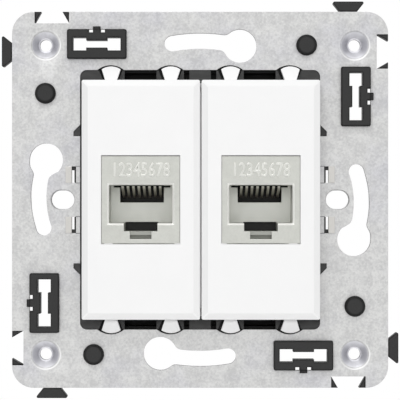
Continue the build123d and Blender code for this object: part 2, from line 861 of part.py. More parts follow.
def rear_door(side):
    """Hinged half of the rear shell, with half of the cable clamp."""
    top = jack_height / 2
    taper_d = door_front - door_taper_start
    tail_z = top - door_taper_drop
    low = door_gap / 2
    skin = outline(
        (door_front, low), (door_front, top), (taper_d, top), (door_back, tail_z), (door_back, low),
    )
    wall = shell_wall
    room = outline(
        (door_front + 1, -1), (door_front + 1, top - wall), (taper_d, top - wall),
        (door_back + wall, tail_z - wall), (door_back + wall, -1),
    )
    door = across(skin, 0, jack_width) - across(room, 0, cavity_width)
    clamp = Circle(clamp_d / 2) & rect(-clamp_d, clamp_d, low, clamp_d)
    groove = Circle(clamp_d / 2) - Circle(clamp_d / 2 - clamp_groove_depth)
    groove_back = door_back - (clamp_length + clamp_groove) / 2
    door += slab(clamp, door_back - clamp_length, door_back)
    door -= slab(groove, groove_back, groove_back + clamp_groove)
    door -= slab(Circle(cable_d / 2), door_back - clamp_length - 1, door_front)
    ear = (hinge_width - door_knuckle_width) / 2
    for end in (-1, 1):
        x = end * (door_knuckle_width / 2 + ear / 2)
        door -= cross_cylinder(knuckle_d / 2 + knuckle_gap, x, ear, hinge_depth, hinge_z)
    door += cross_cylinder(knuckle_d / 2, 0, door_knuckle_width, hinge_depth, hinge_z)
    door += across(knuckle_root(1, -1), 0, door_knuckle_width)
    door -= cross_cylinder(hinge_pin_d / 2 + pin_play, 0, hinge_width, hinge_depth, hinge_z)
    return door if side > 0 else Rot(0, 180, 0) * door


def hinge_pin(side):
    """Steel pin through the knuckles of one door."""
    pin = cross_cylinder(hinge_pin_d / 2, 0, hinge_width, hinge_depth, side * hinge_z)
    return chamfer(pin.edges().filter_by(GeomType.CIRCLE), hinge_pin_d / 8)


def release_latch():
    """Spring arm on top of the jack that catches behind the ledge of the tunnel."""
    top = jack_height / 2
    back = latch_seat_back()
    foot_front = back + latch_seat_length
    catch = ledge_back - fit_gap
    seat = top - latch_seat_depth
    crest = top + latch_rise
    profile = outline(
        (back, seat), (foot_front, seat), (foot_front, top + fit_gap), (catch, top + latch_tip_gap),
        (catch, crest - latch_thickness / 4), (catch - latch_tip_length, crest),
        (foot_front, top + latch_thickness), (back, top + latch_thickness),
    )
    return across(profile, 0, latch_width)


def write(shape, name):
    """Write one named piece."""
    export_step(shape, f"parts/{name}.step")


def write_jack(x, side_name):
    """Write every piece of the jack in one module."""
    place = Pos(x, 0, 0)
    write(place * jack_shell(), f"jack_shell_{side_name}")
    write(place * contact_carrier(), f"contact_carrier_{side_name}")
    write(place * contact_wires(), f"contact_wires_{side_name}")
    write(place * circuit_board(), f"circuit_board_{side_name}")
    write(place * terminal_block(), f"terminal_block_{side_name}")
    write(place * terminal_blades(), f"terminal_blades_{side_name}")
    write(place * wire_cap(), f"wire_cap_{side_name}")
    write(place * release_latch(), f"release_latch_{side_name}")
    for side, level in ((1, "upper"), (-1, "lower")):
        write(place * rear_door(side), f"{level}_rear_door_{side_name}")
        write(place * hinge_pin(side), f"{level}_hinge_pin_{side_name}")


os.makedirs("parts", exist_ok=True)
write(mounting_plate(), "mounting_plate")
link = corner_link()
for quarter, corner in enumerate(("top_left", "top_right", "bottom_right", "bottom_left")):
    write(Rot(0, 90 * quarter, 0) * link, f"corner_link_{corner}")
write(module_holder(), "module_holder")
for column, side_name in enumerate(("left", "right")):
    module_x = module_pitch * (column - 0.5) + module_shift
    write(Pos(module_x, 0, 0) * faceplate(), f"faceplate_{side_name}")
    write_jack(module_x, side_name)
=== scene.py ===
import math

import bmesh
import bpy
import numpy as np
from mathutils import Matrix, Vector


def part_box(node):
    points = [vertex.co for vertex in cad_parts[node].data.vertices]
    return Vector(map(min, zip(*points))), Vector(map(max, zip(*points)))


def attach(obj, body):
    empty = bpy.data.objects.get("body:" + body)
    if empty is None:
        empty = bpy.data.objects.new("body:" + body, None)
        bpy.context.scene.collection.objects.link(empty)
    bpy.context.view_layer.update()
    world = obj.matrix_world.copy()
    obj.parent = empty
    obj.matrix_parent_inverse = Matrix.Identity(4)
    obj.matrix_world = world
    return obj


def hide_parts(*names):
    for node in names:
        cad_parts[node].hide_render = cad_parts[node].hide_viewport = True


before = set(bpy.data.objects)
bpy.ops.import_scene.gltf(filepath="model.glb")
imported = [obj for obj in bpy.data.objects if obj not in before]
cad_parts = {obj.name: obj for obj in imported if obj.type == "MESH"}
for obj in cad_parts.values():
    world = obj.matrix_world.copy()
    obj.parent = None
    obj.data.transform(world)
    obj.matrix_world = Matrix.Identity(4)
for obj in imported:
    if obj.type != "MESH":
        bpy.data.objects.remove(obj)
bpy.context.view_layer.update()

# Camera: straight in front of the plate and far enough back for the flat view of a catalogue
# picture. The distance comes from how far the port floors and module fronts shift with depth,
# and the lens from the width of the picture at the plate's front face.
RETAINER_RISE = 0.0011
PLATE_FRONT = -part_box("corner_link_top_left")[0].y - RETAINER_RISE
VIEW_DISTANCE = 0.450
PICTURE_WIDTH = 0.07553
PICTURE_CENTRE = (-0.00002, -0.00004)
camera_data = bpy.data.cameras.new("camera")
camera_data.sensor_width = 36.0
camera_data.lens = camera_data.sensor_width * VIEW_DISTANCE / PICTURE_WIDTH
camera_data.clip_start = 0.01
camera = bpy.data.objects.new("camera", camera_data)
camera.location = (PICTURE_CENTRE[0], -PLATE_FRONT - VIEW_DISTANCE, PICTURE_CENTRE[1])
camera.rotation_euler = (math.pi / 2, 0, 0)
bpy.context.scene.collection.objects.link(camera)
bpy.context.scene.camera = camera
bpy.context.scene.view_settings.view_transform = "Standard"


# Studio: a dim even room, a broad soft lamp close to the camera that reaches into the ports, a
# smaller one at the upper left that catches edges, and one behind for the back of the socket.
# What the camera, metal and glass see of the room is plain white.
def linear(code):
    """Linear colour, with alpha 1, of an sRGB hex value such as c8c8c8."""
    parts = np.array([int(code[i:i + 2], 16) for i in (0, 2, 4)]) / 255
    low = parts / 12.92
    high = ((parts + 0.055) / 1.055) ** 2.4
    return [*np.where(parts <= 0.04045, low, high).tolist(), 1.0]


def add(tree, kind, values=None, links=None, stops=(), **settings):
    """Adds a node: settings are its properties, values its sockets, links what feeds them, and
    stops the positions and hex colours of its colour ramp. A socket goes by its name, or by its
    number where several share a name or the node has only one."""
    made = tree.nodes.new(kind)
    for name, value in settings.items():
        setattr(made, name, value)
    for name, value in (values or {}).items():
        made.inputs[name].default_value = value
    for name, output in (links or {}).items():
        tree.links.new(output, made.inputs[name])
    for number, (position, code) in enumerate(stops):
        ramp = made.color_ramp.elements
        stop = ramp[number] if number < len(ramp) else ramp.new(position)
        stop.position = position
        stop.color = linear(code)
    return made


def soft_lamp(name, distance, azimuth, elevation, size, energy, in_metal):
    """Round lamp aimed at the socket from degrees right of and above the straight front view."""
    turn, lift = math.radians(azimuth), math.radians(elevation)
    data = bpy.data.lights.new(name, "AREA")
    data.shape = "DISK"
    data.size = size
    data.energy = energy
    made = bpy.data.objects.new(name, data)
    made.location = (distance * math.cos(lift) * math.sin(turn),
                     -distance * math.cos(lift) * math.cos(turn), distance * math.sin(lift))
    made.rotation_euler = (math.pi / 2 - lift, 0, turn)
    made.visible_glossy = in_metal
    made.visible_camera = False
    bpy.context.scene.collection.objects.link(made)


ROOM_LEVEL = 0.36
ROOM_TILT = 0.16
world = bpy.data.worlds.new("room")
bpy.context.scene.world = world
world.use_nodes = True
tree = world.node_tree
tree.nodes.clear()
direction = add(tree, "ShaderNodeTexCoord")
height = add(tree, "ShaderNodeSeparateXYZ", links={0: direction.outputs["Generated"]})
level = add(tree, "ShaderNodeMath", {1: ROOM_TILT, 2: ROOM_LEVEL}, {0: height.outputs["Z"]},
            operation="MULTIPLY_ADD")
path = add(tree, "ShaderNodeLightPath")
seen = path.outputs["Is Camera Ray"]
for ray in ("Is Transmission Ray", "Is Glossy Ray"):
    seen = add(tree, "ShaderNodeMath", links={0: seen, 1: path.outputs[ray]},
               operation="MAXIMUM").outputs[0]
strength = add(tree, "ShaderNodeMix", {3: 1.0}, {0: seen, 2: level.outputs[0]})
background = add(tree, "ShaderNodeBackground", {"Color": linear("ffffff")},
                 {"Strength": strength.outputs[0]})
add(tree, "ShaderNodeOutputWorld", links={"Surface": background.outputs[0]})

soft_lamp("front_lamp", distance=0.9, azimuth=-1, elevation=11, size=0.24, energy=3.6,
          in_metal=False)
soft_lamp("side_lamp", distance=0.8, azimuth=-18, elevation=50, size=0.12, energy=1.3,
          in_metal=True)
soft_lamp("rear_lamp", distance=0.9, azimuth=160, elevation=35, size=0.40, energy=4.0,
          in_metal=False)

FLOOR_DROP = 0.25
FLOOR_RADIUS = 0.35
FLOOR_SIDES = 96
turn = np.linspace(0, 2 * np.pi, FLOOR_SIDES, endpoint=False)
rim = np.stack([FLOOR_RADIUS * np.cos(turn), FLOOR_RADIUS * np.sin(turn),
                np.full(FLOOR_SIDES, -FLOOR_DROP)], axis=1)
floor_mesh = bpy.data.meshes.new("floor")
floor_mesh.from_pydata(rim.tolist(), [], [list(range(FLOOR_SIDES))])
floor = bpy.data.objects.new("floor", floor_mesh)
bpy.context.scene.collection.objects.link(floor)
paper = bpy.data.materials.new("pale_paper")
paper.use_nodes = True
matt = paper.node_tree.nodes["Principled BSDF"]
matt.inputs["Base Color"].default_value = linear("f4f4f4")
matt.inputs["Roughness"].default_value = 0.9
floor_mesh.materials.append(paper)


# Mounting plate: one pressing of galvanised steel sheet. Hot dip leaves fine matt zinc grain with
# paler and bluer patches. The sheared edges show darker bare steel, the screw dimples are drawn in
# with a raised lip round them, painted with sheen, shade and a highlight, and pale coined pads lie
# beside the claw windows.
def new_material(name):
    """A new material with its node tree, its Principled shader and its texture coordinates."""
    material = bpy.data.materials.new(name)
    material.use_nodes = True
    tree = material.node_tree
    return material, tree, tree.nodes["Principled BSDF"], add(tree, "ShaderNodeTexCoord")


def per_mm(size):
    """Texture scale that gives a pattern this many millimetres across, in Object coordinates."""
    return 1000 / size


def coated(tree, base, coats):
    """The base's colour output with coats laid over it in turn, each a share from 0 to 1 and the
    hex colour that it brings."""
    for share, code in coats:
        mix = add(tree, "ShaderNodeMix", {7: linear(code)}, {0: share, 6: base}, data_type="RGBA")
        base = mix.outputs[2]
    return base


def edge_share(tree, radius, fall):
    """How near an edge is, and the normal as if edges were rounded to this radius. The share is 0
    on flat faces and 1 where the rounded normal's product with the flat one has fallen from 1 by
    this much."""
    rounded = add(tree, "ShaderNodeBevel", {"Radius": radius}, samples=6)
    surface = add(tree, "ShaderNodeNewGeometry")
    match = add(tree, "ShaderNodeVectorMath", operation="DOT_PRODUCT",
                links={0: rounded.outputs[0], 1: surface.outputs["True Normal"]})
    share = add(tree, "ShaderNodeMapRange", {"From Min": 1.0, "From Max": 1.0 - fall},
                {"Value": match.outputs["Value"]})
    return share.outputs[0], rounded.outputs[0]


def within(tree, *spans):
    """A share that is 1 where every coordinate lies within its reach of its middle, and else 0.
    A span is a coordinate's output, the middle and the reach."""
    shares = [add(tree, "ShaderNodeMath", {1: middle, 2: reach}, {0: coordinate},
                  operation="COMPARE").outputs[0] for coordinate, middle, reach in spans]
    share = shares[0]
    for other in shares[1:]:
        share = add(tree, "ShaderNodeMath", links={0: share, 1: other},
                    operation="MULTIPLY").outputs[0]
    return share


GRAIN_MM = 0.42
SPANGLE_MM = 2.2
PATCH_MM = 11.0
GRAIN_SHARE = 0.65
galvanised, tree, shader, place = new_material("galvanised_steel")
grain = add(tree, "ShaderNodeTexNoise",
            {"Scale": per_mm(GRAIN_MM), "Detail": 3.0, "Roughness": 0.65},
            {"Vector": place.outputs["Object"]})
spangle = add(tree, "ShaderNodeTexNoise", {"Scale": per_mm(SPANGLE_MM), "Detail": 2.0},
              {"Vector": place.outputs["Object"]})
patch = add(tree, "ShaderNodeTexNoise",
            {"Scale": per_mm(PATCH_MM), "Detail": 3.0, "Roughness": 0.55},
            {"Vector": place.outputs["Object"]})
mixed = add(tree, "ShaderNodeMath", {1: GRAIN_SHARE}, {0: grain.outputs["Fac"]},
            operation="MULTIPLY")
mixed = add(tree, "ShaderNodeMath", {1: 1 - GRAIN_SHARE},
            {0: spangle.outputs["Fac"], 2: mixed.outputs[0]}, operation="MULTIPLY_ADD")
zinc = add(tree, "ShaderNodeValToRGB", links={0: mixed.outputs[0]},
           stops=[(0.39, "c6c6c6"), (0.61, "dededd")])
bluish = add(tree, "ShaderNodeMapRange", {"From Min": 0.5, "From Max": 0.68, "To Max": 0.4},
             {"Value": patch.outputs["Fac"]})
tint = add(tree, "ShaderNodeMix", {7: linear("eeeefa")},
           {0: bluish.outputs[0], 6: zinc.outputs["Color"]},
           data_type="RGBA", blend_type="MULTIPLY")

# Screw dimples: each point is measured from the screw of its own corner. Each dimple gets a pale
# painted sheen, painted shade on its flanks at left and right, and a painted highlight on its lip,
# brightest at the lower right.
SCREW_PLACE = 0.0292
DIMPLE_RADIUS = 0.00256
DIMPLE_EDGE = 0.00012
LIP_RADIUS = 0.00280
LIP_WIDTH = 0.00026
LIP_LIGHT = (0.64, 0.0, -0.77)
spot = add(tree, "ShaderNodeSeparateXYZ", links={0: place.outputs["Object"]})
offsets = {}
for way in ("X", "Z"):
    sign = add(tree, "ShaderNodeMath", links={0: spot.outputs[way]}, operation="SIGN")
    offsets[way] = add(tree, "ShaderNodeMath", {1: -SCREW_PLACE},
                       {0: sign.outputs[0], 2: spot.outputs[way]},
                       operation="MULTIPLY_ADD").outputs[0]
from_screw = add(tree, "ShaderNodeCombineXYZ", links=offsets)
radius = add(tree, "ShaderNodeVectorMath", links={0: from_screw.outputs[0]}, operation="LENGTH")
heading = add(tree, "ShaderNodeVectorMath", links={0: from_screw.outputs[0]},
              operation="NORMALIZE")
heading_parts = add(tree, "ShaderNodeSeparateXYZ", links={0: heading.outputs[0]})
sideways = add(tree, "ShaderNodeMath", links={0: heading_parts.outputs["X"]},
               operation="ABSOLUTE")
dimple = add(tree, "ShaderNodeMapRange",
             {"From Min": DIMPLE_RADIUS - DIMPLE_EDGE, "From Max": DIMPLE_RADIUS,
              "To Min": 1.0, "To Max": 0.0}, {"Value": radius.outputs["Value"]})
shade = add(tree, "ShaderNodeMapRange", {"From Min": 0.45, "From Max": 0.95, "To Min": 0.1},
            {"Value": sideways.outputs[0]}, interpolation_type="SMOOTHSTEP")
painted_flank_shade = add(tree, "ShaderNodeMath", links={0: dimple.outputs[0], 1: shade.outputs[0]},
            operation="MULTIPLY")
toward_light = add(tree, "ShaderNodeVectorMath", {1: LIP_LIGHT}, {0: heading.outputs[0]},
                   operation="DOT_PRODUCT")
lip_side = add(tree, "ShaderNodeMapRange", {"From Min": -0.4, "From Max": 0.7, "To Min": 0.1},
               {"Value": toward_light.outputs["Value"]})
off_lip = add(tree, "ShaderNodeMath", {1: -LIP_RADIUS}, {0: radius.outputs["Value"]},
              operation="ADD")
off_lip = add(tree, "ShaderNodeMath", links={0: off_lip.outputs[0]}, operation="ABSOLUTE")
lip = add(tree, "ShaderNodeMapRange", {"From Max": LIP_WIDTH, "To Min": 1.0, "To Max": 0.0},
          {"Value": off_lip.outputs[0]}, interpolation_type="SMOOTHSTEP")
painted_lip_highlight = add(tree, "ShaderNodeMath", links={0: lip.outputs[0], 1: lip_side.outputs[0]},
              operation="MULTIPLY")

# Coined pads above and below the middle of each claw window, with a short dark cut at both ends
# of each pad.
PAD_PLACE, PAD_HALF_WIDTH = 0.02482, 0.00058
PAD_LEVEL, PAD_HALF_HEIGHT = 0.00475, 0.00155
CUT_PLACE, CUT_HALF_LENGTH = 0.02305, 0.00045
CUT_FROM_PAD, CUT_HALF_WIDTH = 0.00158, 0.00008
across = add(tree, "ShaderNodeMath", links={0: spot.outputs["X"]}, operation="ABSOLUTE")
upward = add(tree, "ShaderNodeMath", links={0: spot.outputs["Z"]}, operation="ABSOLUTE")
from_pad = add(tree, "ShaderNodeMath", {1: -PAD_LEVEL}, {0: upward.outputs[0]}, operation="ADD")
from_pad = add(tree, "ShaderNodeMath", links={0: from_pad.outputs[0]}, operation="ABSOLUTE")
pad = within(tree, (across.outputs[0], PAD_PLACE, PAD_HALF_WIDTH),
             (upward.outputs[0], PAD_LEVEL, PAD_HALF_HEIGHT))
cut_line = within(tree, (across.outputs[0], CUT_PLACE, CUT_HALF_LENGTH),
                  (from_pad.outputs[0], CUT_FROM_PAD, CUT_HALF_WIDTH))

# The sheared edges face sideways and are dark. Every arris is worn a little paler.
WEAR_RADIUS = 0.00012
WEAR_SHARE = 0.35
facing = add(tree, "ShaderNodeSeparateXYZ", links={0: place.outputs["Normal"]})
flatness = add(tree, "ShaderNodeMath", links={0: facing.outputs["Y"]}, operation="ABSOLUTE")
sheared = add(tree, "ShaderNodeMapRange",
              {"From Min": 0.25, "From Max": 0.5, "To Min": 1.0, "To Max": 0.0},
              {"Value": flatness.outputs[0]})
worn, rounded = edge_share(tree, radius=WEAR_RADIUS, fall=0.35)
worn = add(tree, "ShaderNodeMath", {1: WEAR_SHARE}, {0: worn}, operation="MULTIPLY")
# Painted sheen in the dimples, painted shade on their flanks and a painted highlight on the lips.
colour = coated(tree, tint.outputs[2],
                [(pad, "d4d2ce"), (cut_line, "8a8a8c"), (dimple.outputs[0], "eeeef2"),
                 (painted_flank_shade.outputs[0], "c2c2c8"), (sheared.outputs[0], "48484a"),
                 (painted_lip_highlight.outputs[0], "fafafa"), (worn.outputs[0], "e6e6e6")])
tree.links.new(colour, shader.inputs["Base Color"])
shader.inputs["Metallic"].default_value = 0.75
rough = add(tree, "ShaderNodeMapRange",
            {"From Min": 0.3, "From Max": 0.7, "To Min": 0.42, "To Max": 0.58},
            {"Value": mixed.outputs[0]})
tree.links.new(rough.outputs[0], shader.inputs["Roughness"])
raised = add(tree, "ShaderNodeBump", {"Strength": 0.5, "Distance": 0.0001},
             {"Height": lip.outputs[0], "Normal": rounded})
bump = add(tree, "ShaderNodeBump", {"Strength": 0.12, "Distance": 0.00005},
           {"Height": mixed.outputs[0], "Normal": raised.outputs[0]})
tree.links.new(bump.outputs[0], shader.inputs["Normal"])


def prisms(name, blocks):
    """Closed prisms, one for each block: an outline of (x, z) points in millimetres and the two
    depths, counted toward the viewer, between which it runs. Each has two end faces and a wall
    for each side of its outline."""
    points, faces = [], []
    for drawn, back, front in blocks:
        start, count = len(points), len(drawn)
        points += [(x / 1000, -depth / 1000, z / 1000)
                   for depth in (back, front) for x, z in drawn]
        faces += [[start + n for n in range(count)],
                  [start + count + n for n in reversed(range(count))]]
        for n in range(count):
            here, following = start + n, start + (n + 1) % count
            faces.append([here, here + count, following + count, following])
    mesh = bpy.data.meshes.new(name)
    mesh.from_pydata(points, [], faces)
    whole = bmesh.new()
    whole.from_mesh(mesh)
    bmesh.ops.recalc_face_normals(whole, faces=whole.faces)
    whole.to_mesh(mesh)
    whole.free()
    return mesh


def formed_copy(name, node, material, reshape=None, cutter=None, crease=0.5):
    """A node's solid as a merged and smoothed copy: its points first go through reshape, as an
    array in millimetres, and then the cutter's prisms are taken out of it. Edges that turn by
    more than crease radians stay sharp."""
    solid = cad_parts[node].data
    points = np.zeros(len(solid.vertices) * 3)
    solid.vertices.foreach_get("co", points)
    points = points.reshape(-1, 3)
    if reshape:
        points = reshape(points * 1000) / 1000
    corners = np.zeros(len(solid.loops), dtype=np.int64)
    solid.loops.foreach_get("vertex_index", corners)
    mesh = bpy.data.meshes.new(name)
    mesh.from_pydata(points.tolist(), [], corners.reshape(-1, 3).tolist())
    whole = bmesh.new()
    whole.from_mesh(mesh)
    bmesh.ops.remove_doubles(whole, verts=whole.verts, dist=0.000001)
    whole.to_mesh(mesh)
    whole.free()
    made = bpy.data.objects.new(name, mesh)
    bpy.context.scene.collection.objects.link(made)
    if cutter:
        tool = bpy.data.objects.new(name + "_tool", cutter)
        bpy.context.scene.collection.objects.link(tool)
        cut = made.modifiers.new("cut", "BOOLEAN")
        cut.operation = "DIFFERENCE"
        cut.solver = "EXACT"
        cut.object = tool
        bpy.context.view_layer.update()
        formed = made.evaluated_get(bpy.context.evaluated_depsgraph_get())
        mesh = bpy.data.meshes.new_from_object(formed)
        made.modifiers.clear()
        made.data = mesh
        bpy.data.objects.remove(tool)
    mesh.shade_smooth()
    mesh.set_sharp_from_angle(angle=crease)
    mesh.materials.clear()
    mesh.materials.append(material)
    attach(made, "socket")
    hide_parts(node)


# The plate's side slots bow outward. Their keyhole heads reach further in, below the middle at
# the right and above it at the left.
SLOT_BOW = 0.5
SLOT_DROP = 1.1
SLOT_HALF_HEIGHT = 6.4
SLOT_INNER, SLOT_OUTER = 28.3, 33.5
SLOT_HEAD_INNER, SLOT_HEAD_TOP = 26.9, -1.9


def bowed_slots(points):
    """The plate with its two side slots bowed outward: x moves out by the bow times
    1 - (h / half height)^2, where h is the height from the slot's middle, which lies below the
    centre line by its drop at the right and above it at the left."""
    x = points[:, 0]
    outward = np.abs(x)
    height = points[:, 2] * np.sign(x) + SLOT_DROP
    on_slot = (outward > SLOT_HEAD_INNER) & (outward < SLOT_OUTER)
    on_slot &= (outward > SLOT_INNER) | (height < SLOT_HEAD_TOP)
    on_slot &= np.abs(height) < SLOT_HALF_HEIGHT
    bow = SLOT_BOW * (1 - (height / SLOT_HALF_HEIGHT) ** 2)
    points[:, 0] = x + np.where(on_slot, np.sign(x) * bow, 0.0)
    return points


formed_copy("plate_pressing", "mounting_plate", galvanised, bowed_slots)

# Corner links: injection-moulded black polyamide with a fine spark-eroded texture, which scatters
# the light to a dark grey, and painted shade on the rounded mould edges and on faces that lean
# away from the front.
EROSION_MM = 0.18
EDGE_ROUND = 0.0005
polyamide, tree, shader, place = new_material("black_polyamide")
erosion = add(tree, "ShaderNodeTexNoise", {"Scale": per_mm(EROSION_MM), "Detail": 2.0},
              {"Vector": place.outputs["Object"]})
tone = add(tree, "ShaderNodeValToRGB", links={0: erosion.outputs["Fac"]},
           stops=[(0.3, "2e2e2e"), (0.7, "363636")])
painted_edge_shade, rounded = edge_share(tree, radius=EDGE_ROUND, fall=0.1)
facing = add(tree, "ShaderNodeSeparateXYZ", links={0: place.outputs["Normal"]})
frontal = add(tree, "ShaderNodeMath", links={0: facing.outputs["Y"]}, operation="ABSOLUTE")
leaning = add(tree, "ShaderNodeMapRange",
              {"From Min": 0.75, "From Max": 0.97, "To Min": 1.0, "To Max": 0.0},
              {"Value": frontal.outputs[0]})
# Painted shade on the rounded edges and on faces that lean away from the front.
painted_link_shade = add(tree, "ShaderNodeMath", links={0: painted_edge_shade, 1: leaning.outputs[0]}, operation="MAXIMUM")
tree.links.new(coated(tree, tone.outputs["Color"], [(painted_link_shade.outputs[0], "161616")]),
               shader.inputs["Base Color"])
shader.inputs["Roughness"].default_value = 0.55
shader.inputs["IOR"].default_value = 1.5
shader.inputs["Specular IOR Level"].default_value = 0.25
bump = add(tree, "ShaderNodeBump", {"Strength": 0.15, "Distance": 0.00003},
           {"Height": erosion.outputs["Fac"], "Normal": rounded})
tree.links.new(bump.outputs[0], shader.inputs["Normal"])


def quarter_turned(x, z, quarters):
    """A place turned clockwise by quarters round the plate's middle, as seen from the front."""
    for _ in range(quarters % 4):
        x, z = z, -x
    return x, z


def rectangle(x_from, x_to, z_from, z_to):
    """The outline of an upright rectangle."""
    return [(x_from, z_from), (x_to, z_from), (x_to, z_to), (x_from, z_to)]


# Each link ends short of the plate's rounded corner, and a narrow window lies at either side of
# the tab that snaps over the plate. The places are those of the link at the top left.
CORNER_CUT = [(-36.0, 32.2), (-32.2, 36.0), (-36.0, 36.0)]
TAB_WINDOWS = [rectangle(-21.05, -20.2, 31.56, 32.3), rectangle(-18.8, -17.95, 31.56, 32.3)]
LINK_CUT_DEPTHS = (-1.0, 5.0)
TAIL_ROOT, TAIL_MIDDLE, TAIL_REACH = 35.6, 28.0, 4.0
FLARE_START, FLARE_LENGTH, FLARE = 35.55, 1.9, 0.09


def flared_tail(points, quarter):
    """A link with the tip of its dovetail drawn out: turned back to the top left corner, its z
    moves away from the tail's middle by a share that grows along the tail up to the flare."""
    x, z = quarter_turned(points[:, 0], points[:, 2], -quarter)
    on_tail = (x < -TAIL_ROOT) & (np.abs(z - TAIL_MIDDLE) < TAIL_REACH)
    share = 1 + FLARE * np.clip((-x - FLARE_START) / FLARE_LENGTH, 0, 1)
    z = np.where(on_tail, TAIL_MIDDLE + (z - TAIL_MIDDLE) * share, z)
    x, z = quarter_turned(x, z, quarter)
    return np.stack([x, points[:, 1], z], axis=1)


for quarter, corner in enumerate(("top_left", "top_right", "bottom_right", "bottom_left")):
    cuts = [([quarter_turned(x, z, quarter) for x, z in drawn], *LINK_CUT_DEPTHS)
            for drawn in (CORNER_CUT, *TAB_WINDOWS)]
    formed_copy(f"link_moulding_{corner}", f"corner_link_{corner}", polyamide,
                lambda points: flared_tail(points, quarter), prisms(f"link_cuts_{corner}", cuts))

# Module holder: moulded in a black polycarbonate blend, a shade lighter and smoother than the
# links, with soft flow marks along the bars. What lies behind the bars' front gets painted shade,
# and so do the edges.
HOLDER_FLOW_MM = 0.6
FLOW_STRETCH = 0.25
BAR_FRONT, FULL_SHADE = -0.0024, -0.0012
holder_blend, tree, shader, place = new_material("black_polycarbonate_blend")
drawn_out = add(tree, "ShaderNodeMapping", {"Scale": (FLOW_STRETCH, 1.0, 1.0)},
                {"Vector": place.outputs["Object"]})
flow = add(tree, "ShaderNodeTexNoise", {"Scale": per_mm(HOLDER_FLOW_MM), "Detail": 3.0},
           {"Vector": drawn_out.outputs[0]})
tone = add(tree, "ShaderNodeValToRGB", links={0: flow.outputs["Fac"]},
           stops=[(0.3, "3a3a3a"), (0.7, "434343")])
painted_edge_shade, rounded = edge_share(tree, radius=0.00012, fall=0.3)
spot = add(tree, "ShaderNodeSeparateXYZ", links={0: place.outputs["Object"]})
painted_sunk_shade = add(tree, "ShaderNodeMapRange", {"From Min": BAR_FRONT, "From Max": FULL_SHADE},
           {"Value": spot.outputs["Y"]})
# Painted shade behind the bars' front and on the edges.
colour = coated(tree, tone.outputs["Color"], [(painted_sunk_shade.outputs[0], "121212"), (painted_edge_shade, "1c1c1c")])
tree.links.new(colour, shader.inputs["Base Color"])
shader.inputs["Roughness"].default_value = 0.5
shader.inputs["IOR"].default_value = 1.5
shader.inputs["Specular IOR Level"].default_value = 0.25
bump = add(tree, "ShaderNodeBump", {"Strength": 0.1, "Distance": 0.00003},
           {"Height": flow.outputs["Fac"], "Normal": rounded})
tree.links.new(bump.outputs[0], shader.inputs["Normal"])

# The release pockets and the slits between the lugs run out to the edge of the plate's opening,
# and the flange stays clear of the upper and lower keyhole heads of the plate.
POCKETS = [(-14.25, -8.25), (-3.05, -2.05), (2.05, 3.05), (8.25, 14.25)]
POCKET_LEVELS = [(23.4, 24.6), (-24.6, -23.4)]
POCKET_DEPTHS = (0.6, 3.5)
HEAD_PLACES = [(7.51, 29.04), (-7.51, -29.04)]
HEAD_CLEARANCE = 3.25
HEAD_SIDES = 48
FLANGE_DEPTHS = (-1.0, 1.47)
cuts = [(rectangle(left, right, low, high), *POCKET_DEPTHS)
        for left, right in POCKETS for low, high in POCKET_LEVELS]
turn = np.linspace(0, 2 * np.pi, HEAD_SIDES, endpoint=False)
for x, z in HEAD_PLACES:
    disc = zip(x + HEAD_CLEARANCE * np.cos(turn), z + HEAD_CLEARANCE * np.sin(turn))
    cuts.append((list(disc), *FLANGE_DEPTHS))
formed_copy("holder_moulding", "module_holder", holder_blend,
            cutter=prisms("holder_cuts", cuts))


# Holder corner ribs: short black ribs that close the gap beside the modules between the holder's
# bars and its side walls, so that no light comes through there.
def prism_piece(name, blocks, material):
    """A piece of prisms that stays on the socket."""
    made = bpy.data.objects.new(name, prisms(name, blocks))
    bpy.context.scene.collection.objects.link(made)
    made.data.materials.append(material)
    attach(made, "socket")


RIB_INNER, RIB_OUTER = 22.25, 23.0
RIB_LOW, RIB_HIGH = 19.3, 21.0
RIB_DEPTHS = (0.3, 1.4)
blocks = [(rectangle(side * RIB_INNER, side * RIB_OUTER, level * RIB_LOW, level * RIB_HIGH),
           *RIB_DEPTHS) for side in (-1, 1) for level in (-1, 1)]
prism_piece("holder_corner_ribs", blocks, holder_blend)

# Modules: injection-moulded white ABS, polished smooth enough for a soft sheen and very slightly
# uneven where the melt flowed round the jack's window. The border that slopes back round each
# front gets painted shade at the sides and below.
MELT_MM = 6.0
POLISH_MM = 0.35
BORDER_NORMAL, BORDER_TOLERANCE = 0.949, 0.02
BORDER_SHADE = (-0.8, 0.0, -1.6)
SIDE_SHADE = 2.4
glossy_abs, tree, shader, place = new_material("white_abs")
flow = add(tree, "ShaderNodeTexNoise", {"Scale": per_mm(MELT_MM), "Detail": 2.0},
           {"Vector": place.outputs["Object"]})
tone = add(tree, "ShaderNodeValToRGB", links={0: flow.outputs["Fac"]},
           stops=[(0.0, "f2f2f2"), (1.0, "f5f5f5")])
polish = add(tree, "ShaderNodeTexNoise", {"Scale": per_mm(POLISH_MM), "Detail": 2.0},
             {"Vector": place.outputs["Object"]})
gloss = add(tree, "ShaderNodeMapRange",
            {"From Min": 0.3, "From Max": 0.7, "To Min": 0.32, "To Max": 0.4},
            {"Value": polish.outputs["Fac"]})
tree.links.new(gloss.outputs[0], shader.inputs["Roughness"])
facing = add(tree, "ShaderNodeSeparateXYZ", links={0: place.outputs["Normal"]})
frontal = add(tree, "ShaderNodeMath", links={0: facing.outputs["Y"]}, operation="ABSOLUTE")
border = within(tree, (frontal.outputs[0], BORDER_NORMAL, BORDER_TOLERANCE))
away = add(tree, "ShaderNodeVectorMath", {1: BORDER_SHADE}, {0: place.outputs["Normal"]},
           operation="DOT_PRODUCT")
sidelong = add(tree, "ShaderNodeMath", links={0: facing.outputs["X"]}, operation="ABSOLUTE")
